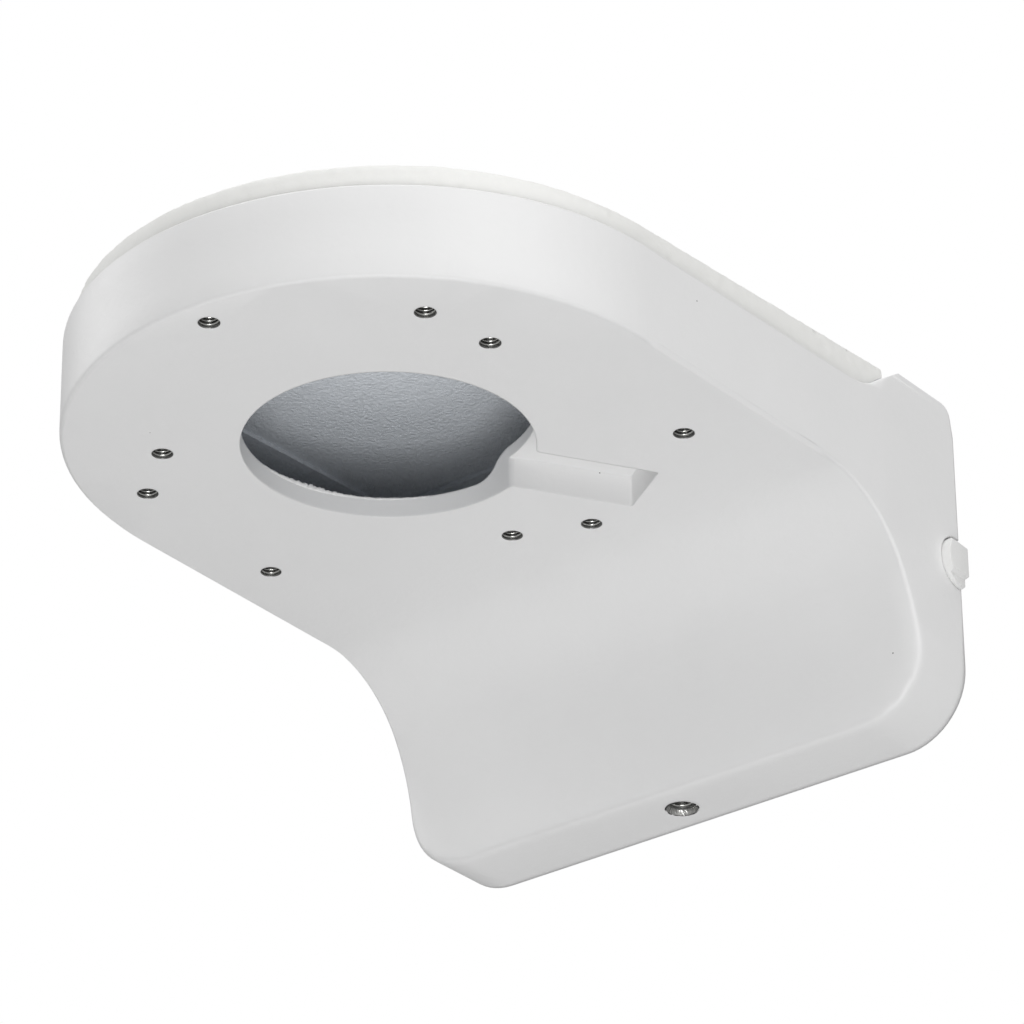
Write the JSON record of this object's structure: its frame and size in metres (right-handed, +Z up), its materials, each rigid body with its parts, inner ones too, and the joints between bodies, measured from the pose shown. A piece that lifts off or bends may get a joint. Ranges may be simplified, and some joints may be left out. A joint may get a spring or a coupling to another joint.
{
  "type": "camera wall bracket",
  "caption": "Cast wall bracket with a round head for a dome or turret camera, a screwed cover above it and a hanging plate at the wall.",
  "frame": {"origin": "centre of the wall plate's screw pattern, on the wall's face", "axes": "+Z up, +Y into the wall, the arm stands out towards -Y, +X along the wall"},
  "size_m": [0.1256, 0.1588, 0.0757],
  "materials": {
    "coated_casting": "die cast, white powder coat, satin",
    "coated_cover": "die cast, white powder coat with a coarse orange peel",
    "seal_rubber": "black seal",
    "plug_rubber": "white moulded rubber, matte",
    "steel_screw": "stainless, plain",
    "zinc_plate": "zinc-plated sheet"
  },
  "bodies": {
    "root": {"bracket_body": "coated_casting", "top_cover": "coated_cover", "cover_gasket": "seal_rubber", "cover_screws": "steel_screw", "wall_plate": "zinc_plate", "lock_screw": "steel_screw", "side_plug": "plug_rubber"}
  },
  "joints": []
}
